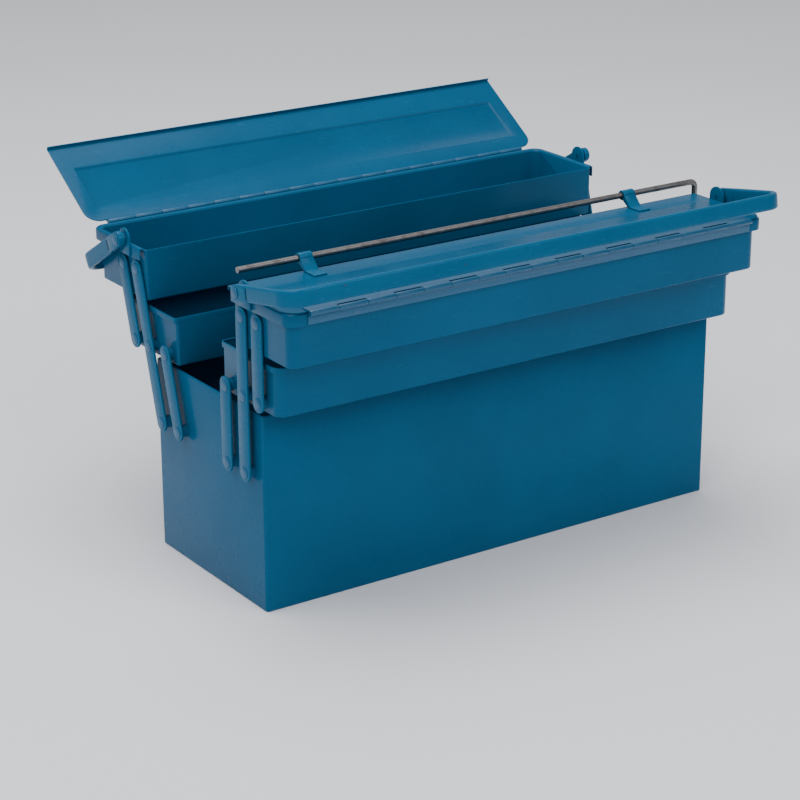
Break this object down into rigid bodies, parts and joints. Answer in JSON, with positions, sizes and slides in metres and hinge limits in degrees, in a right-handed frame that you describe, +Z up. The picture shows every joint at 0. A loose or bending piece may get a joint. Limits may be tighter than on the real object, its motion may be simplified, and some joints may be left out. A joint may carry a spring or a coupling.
{
  "type": "cantilever toolbox with trays",
  "caption": "Steel cantilever toolbox: deep bottom box, paired swing-out trays on parallel arms, hinged lids, folding carrying handles and a sliding locking rod.",
  "frame": {"origin": "centre of the bottom box's underside", "axes": "+X along the box's length, -Y towards the front half, +Z up"},
  "size_m": [0.5756, 0.4918, 0.3663],
  "materials": {
    "paint": "semi-gloss blue enamel",
    "arms": "semi-gloss blue enamel",
    "fixings": "painted over, worn to bright metal on the heads",
    "rod": "dull drawn wire"
  },
  "bodies": {
    "box": {"bottom_box": "paint", "box_rivets": "fixings", "box_spacers": "fixings"},
    "front_long_arms": {"front_long_arm_left": "arms", "front_long_arm_right": "arms"},
    "front_lower_links": {"front_lower_link_left": "arms", "front_lower_link_right": "arms"},
    "front_middle": {"front_middle_tray": "paint", "front_middle_rivets": "fixings", "front_middle_spacers": "fixings"},
    "front_upper_links": {"front_upper_link_left": "arms", "front_upper_link_right": "arms"},
    "front_upper": {"front_upper_tray": "paint", "front_upper_rivets": "fixings", "front_upper_washers": "fixings", "front_hinge_tray_leaf": "fixings", "front_hinge_pin": "fixings", "front_handle_ears": "arms", "front_handle_rivets": "fixings"},
    "front_lid_body": {"front_lid": "paint", "front_hinge_lid_leaf": "fixings", "front_rod_lugs": "arms"},
    "front_grip": {"front_handle": "arms"},
    "back_long_arms": {"back_long_arm_left": "arms", "back_long_arm_right": "arms"},
    "back_lower_links": {"back_lower_link_left": "arms", "back_lower_link_right": "arms"},
    "back_middle": {"back_middle_tray": "paint", "back_middle_rivets": "fixings", "back_middle_spacers": "fixings"},
    "back_upper_links": {"back_upper_link_left": "arms", "back_upper_link_right": "arms"},
    "back_upper": {"back_upper_tray": "paint", "back_upper_rivets": "fixings", "back_upper_washers": "fixings", "back_hinge_tray_leaf": "fixings", "back_hinge_pin": "fixings", "back_handle_ears": "arms", "back_handle_rivets": "fixings"},
    "back_lid_body": {"back_lid": "paint", "back_hinge_lid_leaf": "fixings", "back_rod_lugs": "arms"},
    "back_grip": {"back_handle": "arms"},
    "rod": {"locking_rod": "rod"}
  },
  "joints": [
    {"name": "front_swing", "type": "hinge", "parent": "box", "child": "front_long_arms", "pos_m": [0, -0.079, 0.136], "axis": [1, 0, 0], "range_deg": [-23.39, 23.39]},
    {"name": "front_lower_link_pivot", "type": "hinge", "parent": "box", "child": "front_lower_links", "pos_m": [0, -0.047, 0.136], "axis": [1, 0, 0], "range_deg": [-23.39, 23.39]},
    {"name": "front_middle_level", "type": "hinge", "parent": "front_long_arms", "child": "front_middle", "pos_m": [0, -0.079, 0.2115], "axis": [1, 0, 0], "range_deg": [-23.39, 23.39]},
    {"name": "front_upper_level", "type": "hinge", "parent": "front_long_arms", "child": "front_upper", "pos_m": [0, -0.079, 0.287], "axis": [1, 0, 0], "range_deg": [-23.39, 23.39]},
    {"name": "front_upper_link_pivot", "type": "hinge", "parent": "front_middle", "child": "front_upper_links", "pos_m": [0, -0.106, 0.2115], "axis": [1, 0, 0], "range_deg": [-23.39, 23.39]},
    {"name": "front_lid_hinge", "type": "hinge", "parent": "front_upper", "child": "front_lid_body", "pos_m": [0, -0.168, 0.30993], "axis": [1, 0, 0], "range_deg": [0, 94]},
    {"name": "front_handle_pivot", "type": "hinge", "parent": "front_upper", "child": "front_grip", "pos_m": [0, -0.093, 0.31503], "axis": [1, 0, 0], "range_deg": [-94, 0]},
    {"name": "back_swing", "type": "hinge", "parent": "box", "child": "back_long_arms", "pos_m": [0, 0.079, 0.136], "axis": [-1, 0, 0], "range_deg": [-38.89, 7.89]},
    {"name": "back_lower_link_pivot", "type": "hinge", "parent": "box", "child": "back_lower_links", "pos_m": [0, 0.047, 0.136], "axis": [-1, 0, 0], "range_deg": [-38.89, 7.89]},
    {"name": "back_middle_level", "type": "hinge", "parent": "back_long_arms", "child": "back_middle", "pos_m": [0, 0.09918, 0.20875], "axis": [-1, 0, 0], "range_deg": [-7.89, 38.89]},
    {"name": "back_upper_level", "type": "hinge", "parent": "back_long_arms", "child": "back_upper", "pos_m": [0, 0.11935, 0.28151], "axis": [-1, 0, 0], "range_deg": [-7.89, 38.89]},
    {"name": "back_upper_link_pivot", "type": "hinge", "parent": "back_middle", "child": "back_upper_links", "pos_m": [0, 0.12618, 0.20875], "axis": [-1, 0, 0], "range_deg": [-38.89, 7.89]},
    {"name": "back_lid_hinge", "type": "hinge", "parent": "back_upper", "child": "back_lid_body", "pos_m": [0, 0.20835, 0.30444], "axis": [-1, 0, 0], "range_deg": [-147, 0]},
    {"name": "back_handle_pivot", "type": "hinge", "parent": "back_upper", "child": "back_grip", "pos_m": [0, 0.13335, 0.30954], "axis": [-1, 0, 0], "range_deg": [-112, 0]},
    {"name": "rod_slide", "type": "slide", "parent": "front_lid_body", "child": "rod", "axis": [1, 0, 0], "range_m": [0, 0.44]}
  ],
  "couplings": [
    {"joint": "front_lower_link_pivot", "follows": "front_swing", "ratio": 1},
    {"joint": "front_middle_level", "follows": "front_swing", "ratio": -1},
    {"joint": "front_upper_level", "follows": "front_swing", "ratio": -1},
    {"joint": "front_upper_link_pivot", "follows": "front_swing", "ratio": 1},
    {"joint": "back_lower_link_pivot", "follows": "back_swing", "ratio": 1},
    {"joint": "back_middle_level", "follows": "back_swing", "ratio": -1},
    {"joint": "back_upper_level", "follows": "back_swing", "ratio": -1},
    {"joint": "back_upper_link_pivot", "follows": "back_swing", "ratio": 1},
    {"joint": "back_handle_pivot", "follows": "back_lid_hinge", "ratio": 0.76191}
  ]
}
